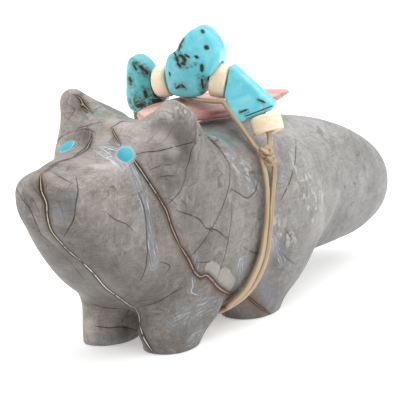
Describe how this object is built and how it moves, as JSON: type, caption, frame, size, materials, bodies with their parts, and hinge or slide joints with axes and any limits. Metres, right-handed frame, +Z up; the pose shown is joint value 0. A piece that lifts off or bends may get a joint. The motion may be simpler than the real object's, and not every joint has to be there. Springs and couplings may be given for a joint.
{
  "type": "carved stone fox fetish",
  "caption": "Small carved stone fox that stands on its feet, with a shell blade and a beaded offering bundle tied on its back with sinew.",
  "frame": {"origin": "below the middle of the whole part's box, on the plane of the four soles", "axes": "+Z up, the fox's nose points to -Y and its tail to +Y, its left side is +X"},
  "size_m": [0.025, 0.0902, 0.0394],
  "materials": {
    "veined_stone": "polished",
    "eye_turquoise": "polished",
    "pink_shell": "satin",
    "cream_shell": "satin",
    "turquoise": "polished",
    "sinew": "waxed"
  },
  "bodies": {
    "root": {"carved_fox": "veined_stone", "left_eye_inlay": "eye_turquoise", "right_eye_inlay": "eye_turquoise", "shell_arrowhead": "pink_shell", "shell_bead_left": "cream_shell", "shell_bead_middle": "cream_shell", "shell_bead_right": "cream_shell", "turquoise_nugget_left": "turquoise", "turquoise_nugget_middle": "turquoise", "turquoise_nugget_right": "turquoise", "sinew_tie": "sinew"}
  },
  "joints": []
}
